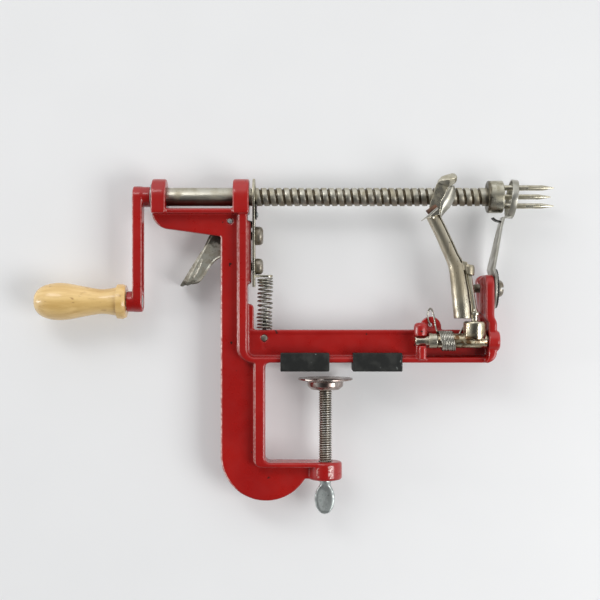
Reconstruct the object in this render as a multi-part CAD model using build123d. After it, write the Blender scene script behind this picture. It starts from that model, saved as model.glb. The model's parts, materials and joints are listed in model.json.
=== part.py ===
from build123d import *
from math import cos, radians, sin
import os

os.makedirs("parts", exist_ok=True)

# A hand-cranked apple peeler, corer and slicer that clamps to a table edge. Millimetres.
# +X runs along the feed screw from the crank to the fork, +Z is up and +Y points away from the
# operator. The origin is where the clamp screw's axis meets the underside of the rubber pads.

# ---- driving dimensions: feed screw, fork and crank ----
SHAFT_Z = 104.1
SHAFT_R = 5.5
RUNNING = 0.03
PITCH = 4.5
GROOVE_DEPTH = 0.85
GROOVE_ROOT = 1.2
GROOVE_MOUTH = 1.9
HUB_R = 9.7
HUB_X = (96.8, 106.3)
FORK_END_R = 3.5
PRONG_R = 1.6
PRONG_CIRCLE = 6.2
PRONG_TIP_X = 136.5
PRONG_POINT = 7.0
PRONG_ANGLES = (55, 175, 295)
CRANK_HUB_X = (-114.6, -104.5)
CRANK_HUB_R = 6.1
CRANK_END_R = 4.0
CRANK_ARM_X = (-115.2, -109.3)
HANDLE_Z = 41.4
FERRULE_X = (-119.0, -115.2)
SPINDLE_R = 3.0
HANDLE_X = (-174.8, -119.3)

# ---- driving dimensions: cast frame ----
WEB_Y = 3.0
RIB_Y = 9.0
LUG_R = 10.8
REAR_LUG_X = (-103.6, -95.0)
FRONT_LUG_X = (-55.2, -45.5)
ARM_FLANGE_Z = (93.8, 96.8)
UPRIGHT_X = (-62.7, -46.4)
UPPER_RIB_X = (-52.0, -46.4)
BED_Z = (5.0, 24.5)
BED_FLANGE_TOP = 8.5
POST_X = (94.4, 99.4)
POST_FOOT_X = (95.8, 100.9)
POST_FOOT_TOP = 29.0
POST_HEEL_R = 6.8
SCREW_PAD_X = 92.4
POST_Y = 14.0
POST_TOP = 57.3
WINDOW_X = -36.0
JAW_Z = -54.3
JAW_RIB = 3.0
CLAMP_RIB_X = (-42.4, -36.0)
HEEL = (-35.5, -50.6)
HEEL_R = 27.2
BOSS_R = 10.0
BOSS_Z = (-65.2, -54.3)
PAD_FACE_X = -44.3

# ---- driving dimensions: table clamp ----
CLAMP_R = 4.0
DISC_R = 16.4
DISC_Z = (-11.3, -4.5)
SCREW_Z = (-67.5, -11.5)
PADDLE = (5.75, 9.6, 3.2)
PADDLE_Z = -76.5

# ---- driving dimensions: quick release ----
RELEASE_PIVOT = (-57.0, 89.5)
PIVOT_PIN_R = 1.5
LEVER_Y = (3.4, 4.9)
CARRIER_X = (-43.5, -42.1)
CARRIER_TRAVEL = 2.2
HALF_NUT_X = (-42.1, -41.2)
GUIDE_SCREWS = ((80.7, 5.6), (62.4, 4.8))
GUIDE_R = 2.4
SPRING_X = -36.6
SPRING_SEAT_Z = 55.9
SPRING_MEAN_R = 4.15
SPRING_WIRE_R = 0.55
SPRING_TURNS = 14
GUIDE_ROD_R = 2.6
CROSS_PIN_Z = 19.6
CROSS_PIN_R = 1.8

# ---- driving dimensions: peeler arm ----
PEEL_Y = -10.5
PEEL_Z = 18.2
PEEL_PIN_R = 2.8
SLEEVE_R = 4.3
STEM_X = 88.1
STEM_R = 2.0
STEM_UPPER_R = 1.5
STEM_BEND_Z = 35.6
STEM_TOP = (83.9, 62.5)
COLLAR_R = 6.8
COLLAR_Z = (19.4, 29.7)
TORSION_X = (66.7, 76.2)
TORSION_MEAN_R = 5.65
TORSION_WIRE_R = 0.5
TORSION_TURNS = 8
ARM_FOOT = (81.5, 33.0)
ARM_BEND = (76.6, 62.4)
ARM_HEAD = (63.5, 91.0)
ARM_R = 5.0
ARM_HEAD_R = 3.9
SHEET = 0.9
HOLDER_Y = (-14.9, -13.6)

# ---- driving dimensions: slicing arm ----
SLICER_SCREW_Z = 49.2
SLICER_SCREW_R = 2.45
SLICER_X = 100.4
SLICER_SHEET = 1.4
RING_CENTRE = (111.8, 102.8)
RING_R = (11.7, 10.6)
RING_WIDTH = 3.8
RING_TILT = 8
LOCK_X = (101.3, 102.5)
LOCK_R = 11.8
LOCK_TEETH = 36


# ---- building blocks ----
def rod_x(x0, x1, radius, y=0.0, z=SHAFT_Z):
    return Pos((x0 + x1) / 2, y, z) * Rot(0, 90, 0) * Cylinder(radius, x1 - x0)


def rod_y(y0, y1, radius, x, z):
    return Pos(x, (y0 + y1) / 2, z) * Rot(90, 0, 0) * Cylinder(radius, y1 - y0)


def rod_z(z0, z1, radius, x=0.0, y=0.0):
    return Pos(x, y, (z0 + z1) / 2) * Cylinder(radius, z1 - z0)


def rod_between(start, end, radius, end_radius=None):
    """Round bar or cone from one point to another."""
    start, end = Vector(*start), Vector(*end)
    length = (end - start).length
    base = (Align.CENTER, Align.CENTER, Align.MIN)
    place = Plane(origin=start, z_dir=(end - start)).location
    if end_radius is None:
        return place * Cylinder(radius, length, align=base)
    return place * Cone(radius, end_radius, length, align=base)


def block(x, y, z):
    """Box between the low and high values given for each axis."""
    centre = Pos(sum(x) / 2, sum(y) / 2, sum(z) / 2)
    return centre * Box(x[1] - x[0], y[1] - y[0], z[1] - z[0])


def area(x, z):
    """Rectangle in the XZ plane."""
    return Pos(sum(x) / 2, sum(z) / 2) * Rectangle(x[1] - x[0], z[1] - z[0])


def side_plate(sketch, y0, y1):
    """Sketch drawn in X and Z, given thickness from y0 to y1."""
    return Pos(0, y1, 0) * extrude(Plane.XZ * sketch, y1 - y0)


def cross_plate(sketch, x0, x1):
    """Sketch drawn in Y and Z, given thickness from x0 to x1."""
    return Pos(x0, 0, 0) * extrude(Plane.YZ * sketch, x1 - x0)


def turned(points, place):
    """Solid of revolution of (radius, height) points about the placed Z axis."""
    return place * revolve(Plane.XZ * make_face(Polyline(*points, close=True)), Axis.Z)


def along_x(y=0.0, z=SHAFT_Z):
    """Places a Z-axis shape with its axis along X."""
    return Pos(0, y, z) * Rot(0, 90, 0)


def polygon(*points):
    return make_face(Polyline(*points, close=True))


def coil(pitch, turns, mean_r, wire_r):
    """Round wire wound about Z, starting at z = 0."""
    path = Helix(pitch=pitch, height=pitch * turns, radius=mean_r)
    start = Plane(origin=path @ 0, z_dir=path % 0)
    return sweep(start * Circle(wire_r), path=path, is_frenet=True)


def rounded_ends(solid, axis, radius):
    """Rounds the edges of the end faces that look along an axis."""
    faces = solid.faces().filter_by(axis).sort_by(axis)
    return fillet(faces[0].edges() + faces[-1].edges(), radius)


# ---- cast frame ----
def frame_web():
    top_arm = make_face(
        Line((-103.6, 94.5), (-103.6, 92.4))
        + RadiusArc((-103.6, 92.4), (-95.9, 85.0), -11)
        + Polyline((-95.9, 85.0), (UPRIGHT_X[0], 80.4), (UPRIGHT_X[1], 80.4), (UPRIGHT_X[1], 94.5))
        + Line((UPRIGHT_X[1], 94.5), (-103.6, 94.5))
    )
    upright = area(UPRIGHT_X, (BED_Z[0], 94.5))
    jaw_back = area((UPRIGHT_X[0], WINDOW_X + 1), (HEEL[1], BED_Z[0] + 1))
    heel = Pos(*HEEL) * Circle(HEEL_R)
    lower_arm = area((HEEL[0], -2.0), (BOSS_Z[0] + 0.6, JAW_Z))
    bed = area((UPRIGHT_X[0], POST_FOOT_X[0] + 1), BED_Z)
    foot = fillet(area((-47.0, -42.9), (20.0, 39.9)).vertices().sort_by(Axis.X)[-2:], 2.5)
    anchor = Pos(63.1, 26.1) * Circle(6.3)
    opening = area((WINDOW_X, 30.0), (JAW_Z, BED_Z[0]))
    opening = fillet(opening.vertices().sort_by(Axis.X)[:2], 3.0)
    web = top_arm + upright + jaw_back + heel + lower_arm + bed + foot - opening
    ground = area((BOSS_R + 1, 60.0), (-90.0, BED_Z[0]))
    web = web - ground
    return side_plate(web, -WEB_Y, WEB_Y) + side_plate(anchor, -2.2, 2.2)


def frame_ribs():
    arm = area((REAR_LUG_X[0], UPPER_RIB_X[1]), ARM_FLANGE_Z)
    knee = area((UPPER_RIB_X[0], POST_FOOT_X[1] - POST_HEEL_R + 1), (BED_Z[0], ARM_FLANGE_Z[1]))
    knee = fillet(knee.vertices().group_by(Axis.Y)[0].sort_by(Axis.X)[:1], 9.0)
    hollow = area((UPPER_RIB_X[1], 200.0), (BED_FLANGE_TOP, 200.0))
    hollow = fillet(hollow.vertices().group_by(Axis.Y)[0].sort_by(Axis.X)[:1], 4.0)
    jaw = area((CLAMP_RIB_X[0], -4.0), (JAW_Z - JAW_RIB, BED_Z[0] + 1))
    jaw = fillet(jaw.vertices().group_by(Axis.Y)[0].sort_by(Axis.X)[:1], 4.0)
    gap = area((CLAMP_RIB_X[1], 60.0), (JAW_Z, BED_Z[0]))
    gap = fillet(gap.vertices().sort_by(Axis.X)[:2], 3.0)
    ribs = arm + (knee - hollow) + (jaw - gap)
    return rounded_ends(side_plate(ribs, -RIB_Y, RIB_Y), Axis.Y, 1.3)


def bearing_lug(x):
    outline = Pos(0, SHAFT_Z) * Circle(LUG_R) + area((-LUG_R, LUG_R), (ARM_FLANGE_Z[0], SHAFT_Z))
    return rounded_ends(cross_plate(outline, *x), Axis.X, 1.0)


def pivot_lug():
    """Open-fronted lug that holds the left end of the peeler's pivot pin."""
    wall = block((54.8, 59.3), (-14.0, -2.0), (7.0, 27.0))
    wall = fillet(wall.edges().filter_by(Axis.Z).sort_by(Axis.Y)[:2], 1.6)
    knob = rod_z(PEEL_Z + PEEL_PIN_R, 29.0, 4.0, 56.0, PEEL_Y)
    knob = fillet(knob.edges().sort_by(Axis.Z)[-1:], 2.6)
    mouth = block((40.0, 70.0), (-20.0, PEEL_Y), (PEEL_Z - PEEL_PIN_R, PEEL_Z + PEEL_PIN_R))
    return wall + knob - mouth


def post():
    """End post: its foot stands further out than the wall that the slicing arm bears on."""
    outline = area((-POST_Y, POST_Y), (BED_Z[0], POST_TOP))
    outline = fillet(outline.vertices().group_by(Axis.Y)[-1], 6.5)
    plate = cross_plate(outline, POST_X[0], POST_FOOT_X[1])
    heel_start = (POST_FOOT_X[1] - POST_HEEL_R, BED_Z[0])
    heel_end = (POST_FOOT_X[1], BED_Z[0] + POST_HEEL_R)
    heel = RadiusArc(heel_start, heel_end, -POST_HEEL_R)
    outer_edge = Polyline(
        heel_end, (POST_FOOT_X[1], POST_FOOT_TOP),
        (POST_X[1], POST_FOOT_TOP + 3.0), (POST_X[1], POST_TOP), (POST_X[0], POST_TOP),
        (POST_X[0], POST_FOOT_TOP + 3.0), (POST_FOOT_X[0], POST_FOOT_TOP),
        (POST_FOOT_X[0], BED_FLANGE_TOP), heel_start,
    )
    plate = plate & side_plate(make_face(outer_edge + heel), -POST_Y - 1, POST_Y + 1)
    tall_edges = plate.edges().filter_by(Axis.Z).group_by(Axis.Y)
    plate = fillet(tall_edges[0] + tall_edges[-1], 1.1)
    boss = rod_x(POST_FOOT_X[0], POST_FOOT_X[1] + 1.7, 5.9, PEEL_Y, PEEL_Z)
    return plate + fillet(boss.edges().sort_by(Axis.X)[-1:], 1.2) + post_gusset()


def post_gusset():
    """Rib that stiffens the far half of the post, and the pad its screw ends in."""
    face = polygon(
        (93.8, BED_Z[1] - 2), (90.6, POST_TOP - 0.4), (POST_X[0] + 1, POST_TOP - 0.4),
        (POST_X[0] + 2, BED_Z[1] - 2),
    )
    face = fillet(face.vertices().sort_by(Axis.X)[:1], 4.0)
    pad = block((SCREW_PAD_X, POST_X[0] + 1), (-4.2, 4.0), (POST_FOOT_TOP + 5, POST_TOP - 1.5))
    pad = fillet(pad.edges().sort_by(Axis.X)[:4], 1.6)
    return side_plate(face, 3.4, 9.4) + pad


def cast_frame():
    boss = fillet(rod_z(*BOSS_Z, BOSS_R).edges().filter_by(GeomType.CIRCLE), 1.5)
    lip = block((UPPER_RIB_X[1], POST_X[0]), (-3.5, 3.5), (BED_Z[1] - 2.0, BED_Z[1]))
    slide_pad = block((UPPER_RIB_X[1] - 1, PAD_FACE_X), (-7.0, 7.0), (51.9, 89.1))
    slide_pad = fillet(slide_pad.edges().filter_by(Axis.Y).sort_by(Axis.X)[-2:], 1.0)
    body = frame_web() + frame_ribs() + bearing_lug(REAR_LUG_X) + bearing_lug(FRONT_LUG_X)
    body = body + boss + lip + slide_pad + pivot_lug() + post()
    lever_slot = block((-53.5, PAD_FACE_X + 1), (WEB_Y, RIB_Y + 1), (80.5, ARM_FLANGE_Z[0]))
    body = body - lever_slot
    body = body - rod_x(-110, -40, SHAFT_R + RUNNING)
    body = body - rod_z(-90, -50, CLAMP_R + 0.06)
    body = body - rod_x(50, 110, PEEL_PIN_R, PEEL_Y, PEEL_Z)
    body = body - rod_x(90, 110, SLICER_SCREW_R, 0, SLICER_SCREW_Z)
    body = body - rod_y(-5, 5, PIVOT_PIN_R, *RELEASE_PIVOT)
    body = body - rod_y(-5, 5, CROSS_PIN_R, SPRING_X, CROSS_PIN_Z)
    body = body - rod_z(13.0, 30.0, GUIDE_ROD_R, SPRING_X)
    body = body - rod_y(-5, 5, 1.2, 62.8, 27.5)
    for z, _ in GUIDE_SCREWS:
        body = body - rod_x(-52.0, -40.0, GUIDE_R, 0, z)
    return body


def table_pad(x):
    """Rubber block with a slot that grips the bed's lower flange."""
    pad = block(x, (-11.5, 11.5), (0.0, 10.9))
    pad = pad - block((x[0] - 1, x[1] + 1), (-RIB_Y, RIB_Y), (BED_Z[0], BED_FLANGE_TOP))
    return pad - block((x[0] - 1, x[1] + 1), (-WEB_Y, WEB_Y), (BED_FLANGE_TOP, 12.0))


# ---- feed screw, fork and crank ----
def thread_cutter():
    """Right-hand helical groove whose bottom is in step with the half nut's tooth."""
    start_x = sum(HALF_NUT_X) / 2 - PITCH
    path = Helix(pitch=PITCH, height=PITCH * 31.3, radius=SHAFT_R - GROOVE_DEPTH)
    end = Plane(origin=path @ 0, z_dir=-(path % 0), x_dir=(1, 0, 0))
    top = GROOVE_DEPTH + 0.3
    root, mouth = GROOVE_ROOT / 2, GROOVE_MOUTH / 2
    section = end * polygon((0, -root), (top, -mouth), (top, mouth), (0, root))
    groove = sweep(-section.face(), path=path, is_frenet=True)
    return Pos(start_x, 0, SHAFT_Z) * Rot(0, 90, 0) * groove


def feed_screw():
    shaft = rod_x(CRANK_HUB_X[1], HUB_X[0], SHAFT_R)
    shaft = shaft - thread_cutter()
    shaft = shaft + rod_x(CRANK_HUB_X[0] + 1.5, CRANK_HUB_X[1], CRANK_END_R)
    return shaft + rod_x(HUB_X[0], HUB_X[1] - 2.5, FORK_END_R)


def prong_places():
    for angle in PRONG_ANGLES:
        turn = radians(angle)
        yield -PRONG_CIRCLE * cos(turn), SHAFT_Z + PRONG_CIRCLE * sin(turn)


def fork_hub():
    hub = rod_x(*HUB_X, HUB_R)
    hub = fillet(hub.edges().filter_by(GeomType.CIRCLE), 1.0)
    hub = hub - rod_x(HUB_X[0] - 1, HUB_X[1] - 2.5, FORK_END_R)
    for y, z in prong_places():
        hub = hub - rod_x(HUB_X[1] - 2.2, HUB_X[1] + 1, PRONG_R, y, z)
    return hub - rod_y(FORK_END_R - 0.5, HUB_R + 1, 1.6, 101.5, SHAFT_Z)


def fork_prongs():
    prongs = []
    for y, z in prong_places():
        bar = rod_x(HUB_X[1] - 2.2, PRONG_TIP_X - PRONG_POINT, PRONG_R, y, z)
        point_start = (PRONG_TIP_X - PRONG_POINT, y, z)
        prongs.append(bar + rod_between(point_start, (PRONG_TIP_X, y, z), PRONG_R, 0.35))
    return Compound(children=[prong.solid() for prong in prongs])


def fork_grub_screw():
    screw = rod_y(FORK_END_R, HUB_R - 0.8, 1.6, 101.5, SHAFT_Z)
    return screw - block((101.2, 101.8), (HUB_R - 1.8, HUB_R), (SHAFT_Z - 2, SHAFT_Z + 2))


def thrust_washer():
    return rod_x(-104.4, -103.7, 8.0) - rod_x(-105, -103, SHAFT_R + 0.2)


def crank_arm():
    half = CRANK_HUB_R + 0.3
    outline = Pos(0, SHAFT_Z) * Circle(half) + Pos(0, HANDLE_Z) * Circle(half)
    outline = outline + area((-half, half), (HANDLE_Z, SHAFT_Z))
    arm = rounded_ends(cross_plate(outline, *CRANK_ARM_X), Axis.X, 1.0)
    channel = SlotCenterToCenter(34.0, 8.6, rotation=90)
    arm = arm - cross_plate(Pos(0, 68.0) * channel, CRANK_ARM_X[1] - 2.8, CRANK_ARM_X[1] + 1)
    arm = arm - rod_x(CRANK_ARM_X[1] - 1.6, CRANK_ARM_X[1] + 1, 4.6, 0, HANDLE_Z)
    arm = arm + rod_x(*CRANK_HUB_X, CRANK_HUB_R) + rod_x(*FERRULE_X, 6.2, 0, HANDLE_Z)
    arm = arm - rod_x(CRANK_HUB_X[0] + 1.5, -100, CRANK_END_R)
    return arm - rod_x(-125, -105, SPINDLE_R, 0, HANDLE_Z)


def handle_spindle():
    spindle = rod_x(-163.0, CRANK_ARM_X[1] - 1.6, SPINDLE_R, 0, HANDLE_Z)
    head = rod_x(CRANK_ARM_X[1] - 1.6, CRANK_ARM_X[1] - 0.3, 4.2, 0, HANDLE_Z)
    groove = rod_x(-160.4, -159.6, 4.0, 0, HANDLE_Z) - rod_x(-161, -159, 2.5, 0, HANDLE_Z)
    return spindle + fillet(head.edges().sort_by(Axis.X)[-1:], 0.6) - groove


def handle_retaining_ring():
    return rod_x(-160.4, -159.6, 3.9, 0, HANDLE_Z) - rod_x(-161, -159, 2.5, 0, HANDLE_Z)


def wood_handle():
    """Turned grip: full at the outer end, waisted, then a flared collar by the crank."""
    end, collar = HANDLE_X
    swell = Spline(
        (0.0, end), (7.6, end + 3.0), (11.25, end + 14.4), (9.9, end + 26.0), (7.6, end + 39.0),
        (7.9, end + 46.0), (9.7, end + 51.0), (10.5, collar - 2.2),
        tangents=[(1, 0), (0.05, 1)],
    )
    rim = Polyline((10.5, collar - 2.2), (9.6, collar), (0.0, collar))
    core = Line((0.0, collar), (0.0, end))
    grip = along_x(0, HANDLE_Z) * revolve(Plane.XZ * make_face(swell + rim + core), Axis.Z)
    grip = grip - rod_x(-163.6, -110, SPINDLE_R + 0.06, 0, HANDLE_Z)
    return grip - rod_x(-160.8, -159.2, 4.2, 0, HANDLE_Z)


# ---- table clamp ----
def clamp_disc():
    low, high = DISC_Z
    points = (
        (2.8, low), (8.4, low), (10.6, low + 1.9), (10.9, high - 2.1), (DISC_R, high - 1.0),
        (DISC_R, high), (10.0, high - 1.1), (9.6, low + 2.4), (8.0, low + 1.0), (2.8, low + 1.0),
    )
    return turned(points, Pos(0, 0, 0))


def clamp_screw():
    screw = rod_z(*SCREW_Z, CLAMP_R) + rod_z(SCREW_Z[1], DISC_Z[0] + 1.4, 2.72)
    wide, tall, thick = PADDLE
    paddle = side_plate(Pos(0, PADDLE_Z) * Ellipse(wide, tall), -thick / 2, thick / 2)
    paddle = fillet(paddle.edges(), 1.1)
    neck = rod_between((0, 0, SCREW_Z[0]), (0, 0, SCREW_Z[0] - 4.0), CLAMP_R, 1.7)
    return screw + paddle + neck


def clamp_rivet_head():
    """Upset end of the screw that keeps the pressure disc on."""
    seat = DISC_Z[0] + 1.4
    return fillet(rod_z(seat, seat + 1.6, 4.6).edges().sort_by(Axis.Z)[-1:], 0.9)


# ---- quick release ----
def release_lever():
    """Stamped thumb lever with a finger that draws the half nut down."""
    px, pz = RELEASE_PIVOT
    grip = polygon(
        (-42.0, 86.2), (-42.0, 89.2), (-50.0, 91.4), (px, pz + 3.6), (-61.0, 88.5),
        (-70.0, 81.0), (-74.5, 71.4), (-79.6, 63.4), (-86.1, 51.8), (-83.1, 50.9),
        (-77.0, 53.2), (-70.5, 61.4), (-67.5, 66.0), (-62.5, 69.5), (-54.0, 81.5), (-48.0, 85.0),
    )
    lever = side_plate(grip + Pos(px, pz) * Circle(3.7), *LEVER_Y)
    thumb = polygon((-74.9, 71.6), (-74.0, 71.1), (-85.2, 51.4), (-87.0, 50.4), (-87.5, 51.2))
    lever = lever + side_plate(thumb, LEVER_Y[0], LEVER_Y[1] + 10.0)
    return lever - rod_y(0, 8, PIVOT_PIN_R + 0.05, px, pz)


def release_pivot_pin():
    shank = rod_y(-WEB_Y - 0.2, 5.3, PIVOT_PIN_R, *RELEASE_PIVOT)
    return shank + rod_y(5.3, 6.4, 2.8, *RELEASE_PIVOT)


def nut_carrier():
    """Plate that slides on the upright, with a bent seat for the return spring."""
    outline = area((-9.0, 9.0), (50.1, 104.0)) + Pos(0, 104.0) * Circle(11.0)
    plate = cross_plate(outline, *CARRIER_X)
    plate = plate - cross_plate(area((-15, 15), (115.0, 120.0)), -50, -40)
    for lift in (0.0, CARRIER_TRAVEL + 0.2):
        plate = plate - rod_x(-50, -40, SHAFT_R + 0.4, 0, SHAFT_Z + lift)
    slot_side = GUIDE_R + 0.25
    for z, _ in GUIDE_SCREWS:
        slot = area((-slot_side, slot_side), (z, z + CARRIER_TRAVEL + 0.2))
        for end in (z, z + CARRIER_TRAVEL + 0.2):
            slot = slot + Pos(0, end) * Circle(slot_side)
        plate = plate - cross_plate(slot, -50, -40)
    plate = plate - block((-50, -40), (LEVER_Y[0] - 0.5, LEVER_Y[1] + 0.5), (85.5, 89.9))
    seat = block((CARRIER_X[1] - 0.4, SPRING_X + 5.0), (-4.6, 4.6), (SPRING_SEAT_Z, SPRING_SEAT_Z + 1.3))
    seat = fillet(seat.edges().filter_by(Axis.Z).sort_by(Axis.X)[-2:], 3.0)
    return plate + seat


def half_nut():
    """Thin hardened plate whose single tooth rides in the feed screw's thread."""
    outline = area((-6.0, 6.0), (90.8, 99.3)) - Pos(0, SHAFT_Z) * Circle(SHAFT_R + 0.35)
    plate = cross_plate(outline, *HALF_NUT_X)
    middle = sum(HALF_NUT_X) / 2
    tooth = block((middle - 0.3, middle + 0.3), (-1.2, 1.2), (97.6, 99.25))
    return plate + tooth


def half_nut_rivets():
    rivets = [rod_x(HALF_NUT_X[1], HALF_NUT_X[1] + 0.8, 1.5, y, 93.4) for y in (-3.8, 3.8)]
    return Compound(children=[fillet(r.edges().sort_by(Axis.X)[-1:], 0.5).solid() for r in rivets])


def guide_screws():
    """Two shouldered pan-head screws on which the carrier slides."""
    screws = []
    for z, head_r in GUIDE_SCREWS:
        head = rod_x(CARRIER_X[1] + 0.2, CARRIER_X[1] + 4.8, head_r, 0, z)
        head = fillet(head.edges().sort_by(Axis.X)[-1:], 2.4)
        head = head - block((CARRIER_X[1] + 3.4, -30), (-0.6, 0.6), (z - 9, z + 9))
        screws.append((head + rod_x(-51.0, CARRIER_X[1] + 0.2, GUIDE_R, 0, z)).solid())
    return Compound(children=screws)


def release_spring():
    height = SPRING_SEAT_Z - BED_Z[1] - 2 * SPRING_WIRE_R - 0.1
    wound = coil(height / SPRING_TURNS, SPRING_TURNS, SPRING_MEAN_R, SPRING_WIRE_R)
    return Pos(SPRING_X, 0, BED_Z[1] + SPRING_WIRE_R + 0.05) * wound


def spring_guide():
    rod = rod_z(13.0, 46.0, GUIDE_ROD_R, SPRING_X)
    rod = fillet(rod.edges().sort_by(Axis.Z)[-1:], 1.2)
    return rod - rod_y(-5, 5, CROSS_PIN_R, SPRING_X, CROSS_PIN_Z)


def spring_cross_pin():
    return rod_y(-WEB_Y - 0.15, WEB_Y + 0.15, CROSS_PIN_R, SPRING_X, CROSS_PIN_Z)


# ---- peeler arm ----
def peeler_pivot_pin():
    pin = rod_x(52.8, POST_FOOT_X[1] + 1.7, PEEL_PIN_R, PEEL_Y, PEEL_Z)
    return chamfer(pin.edges().sort_by(Axis.X)[:1], 0.5)


def pivot_spacer():
    ring = fillet(rod_x(60.6, 65.9, 4.4, PEEL_Y, PEEL_Z).edges().filter_by(GeomType.CIRCLE), 0.6)
    return ring - rod_x(50, 80, PEEL_PIN_R + RUNNING, PEEL_Y, PEEL_Z)


def pivot_block():
    """Sleeve that swings on the pivot pin and carries the swivel collar."""
    sleeve = rod_x(66.1, 94.8, SLEEVE_R, PEEL_Y, PEEL_Z)
    collar = rod_z(*COLLAR_Z, COLLAR_R, STEM_X, PEEL_Y)
    collar = fillet(collar.edges().sort_by(Axis.Z)[-1:], 1.2)
    body = sleeve + collar
    body = body - rod_x(60, 100, PEEL_PIN_R + RUNNING, PEEL_Y, PEEL_Z)
    return body - rod_z(COLLAR_Z[0] + 3.4, 40, STEM_R + RUNNING, STEM_X, PEEL_Y)


def torsion_spring():
    left, right = TORSION_X
    wound = coil((right - left) / TORSION_TURNS, TORSION_TURNS, TORSION_MEAN_R, TORSION_WIRE_R)
    wound = Pos(left, PEEL_Y, PEEL_Z) * Rot(0, 90, 0) * Rot(0, 0, 90) * wound
    back = PEEL_Y + TORSION_MEAN_R
    route = FilletPolyline(
        (left, back, PEEL_Z), (left - 1.2, back, 31.0), (63.6, -4.2, 37.2), (61.4, -3.2, 34.0),
        (62.4, -2.8, 27.5), radius=[6, 1.6, 1.4],
    )
    anchor = sweep(Plane(origin=route @ 0, z_dir=route % 0) * Circle(TORSION_WIRE_R), path=route)
    push = rod_between((right, back, PEEL_Z), (right + 6.0, back + 0.3, PEEL_Z + 8.0), TORSION_WIRE_R)
    return Compound(children=[wound.solid(), anchor.solid(), push.solid()])


def at_arm(point, y=PEEL_Y):
    return (point[0], y, point[1])


def swivel_stem():
    pin = rod_z(COLLAR_Z[0] + 3.5, STEM_BEND_Z, STEM_R, STEM_X, PEEL_Y)
    bend = at_arm((STEM_X, STEM_BEND_Z))
    upper = rod_between(bend, at_arm(STEM_TOP), STEM_UPPER_R)
    return pin + upper + Pos(*bend) * Sphere(STEM_R)


def arm_shell(outer):
    """Rolled arm as a bent solid, or the hollow inside it when outer is False."""
    wall = 0.0 if outer else SHEET
    extra = 0.0 if outer else 1.0
    foot = (ARM_FOOT[0] + 0.16 * extra, PEEL_Y, ARM_FOOT[1] - extra)
    head = (ARM_HEAD[0] - 0.42 * extra, PEEL_Y, ARM_HEAD[1] + 0.9 * extra)
    waist = (ARM_BEND[0] - 3.4, PEEL_Y, ARM_BEND[1] + 7.4)
    lower = rod_between(foot, at_arm(ARM_BEND), ARM_R - wall)
    knee = Pos(*at_arm(ARM_BEND)) * Sphere(ARM_R - wall)
    taper = rod_between(at_arm(ARM_BEND), waist, ARM_R - wall, ARM_HEAD_R - wall)
    return lower + knee + taper + rod_between(waist, head, ARM_HEAD_R - wall)


def peeler_arm():
    tube = arm_shell(True) - arm_shell(False)
    ear = block((81.2, 87.6), (PEEL_Y - 3.4, PEEL_Y + 3.4), (59.6, 65.4))
    ear = fillet(ear.edges().filter_by(Axis.Y), 1.4)
    return tube + (ear - arm_shell(True)) - swivel_stem() - rod_z(33.3, 35.3, 3.4, STEM_X, PEEL_Y)


def stem_washer():
    ring = rod_z(33.5, 35.1, 3.2, STEM_X, PEEL_Y)
    return ring - rod_z(33, 35.6, STEM_R, STEM_X, PEEL_Y)


def blade_holder():
    """Flat head plate with a rounded bar along its top edge."""
    face = polygon((60.4, 90.0), (66.3, 112.4), (73.4, 109.4), (67.6, 95.2), (66.6, 89.6))
    plate = side_plate(face, *HOLDER_Y)
    bar = rod_between((66.4, -13.2, 111.2), (77.0, -13.2, 115.4), 2.5)
    bar = fillet(bar.edges().filter_by(GeomType.CIRCLE), 1.0)
    socket = rod_between((61.9, -12.6, 88.0), (63.9, -12.6, 95.6), 1.6)
    return plate + bar + socket - arm_shell(True)


def peeler_blade():
    """Curved, slotted blade with its sharp edge towards the fork."""
    outline = polygon(
        (68.3, 91.3), (68.2, 100.1), (72.6, 107.6), (75.4, 110.2), (76.8, 107.9), (75.7, 102.1),
        (73.2, 97.5),
    )
    stock = side_plate(outline, -18.0, -10.4)
    low, high = (69.5, -5.6, 91.0), (77.6, -5.6, 113.0)
    shell = rod_between(low, high, 8.4) - rod_between(low, high, 7.6)
    slot = side_plate(polygon((71.0, 97.0), (73.6, 103.6), (72.9, 103.9), (70.4, 97.3)), -18, -10)
    front = block((60, 80), (-18, -10.6), (85, 115))
    return stock & shell & front - slot


def blade_pivot_block():
    """Riveted block that joins the head plate to the arm."""
    block_face = polygon((58.9, 94.2), (60.2, 97.8), (65.6, 96.0), (64.6, 92.4))
    return fillet(side_plate(block_face, -17.2, HOLDER_Y[0]).edges().filter_by(Axis.Y), 0.6)


def depth_guard():
    """Thin spring strip that limits how deep the blade cuts."""
    strip = polygon((55.4, 88.4), (55.2, 89.2), (64.9, 97.2), (66.2, 96.6))
    return side_plate(strip, -18.2, -17.2)


# ---- slicing arm ----
def slicer_arm():
    route = Polyline(
        (SLICER_X, 36.0), (SLICER_X, 57.2), (99.4, 60.6), (105.0, 87.3), (106.4, 91.4), (110.6, 92.6)
    )
    strip = side_plate(trace(route, SLICER_SHEET), -15.0, 15.0)
    outline = Pos(0, SLICER_SCREW_Z) * Circle(13.0) + polygon(
        (-13.0, SLICER_SCREW_Z), (-13.0, 57.0), (-5.9, 88.0), (-5.0, 95.0), (5.0, 95.0),
        (5.9, 88.0), (13.0, 57.0), (13.0, SLICER_SCREW_Z),
    )
    strip = strip & cross_plate(outline, 95.0, 115.0)
    strip = strip - rod_x(95, 110, SLICER_SCREW_R + 0.2, 0, SLICER_SCREW_Z)
    strip = strip - rod_x(LOCK_X[0], LOCK_X[1] + 3, LOCK_R + 0.3, 0, SLICER_SCREW_Z)
    return strip - slicer_ring_solid(RING_R[0], 20.0)


def chip_lip():
    """Small curled lip under the hub that turns the cut slice aside."""
    curl = ThreePointArc((100.1, 91.6), (102.2, 89.9), (105.6, 89.3))
    return side_plate(trace(curl, 0.8), -3.6, 3.6) - slicer_arm()


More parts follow.
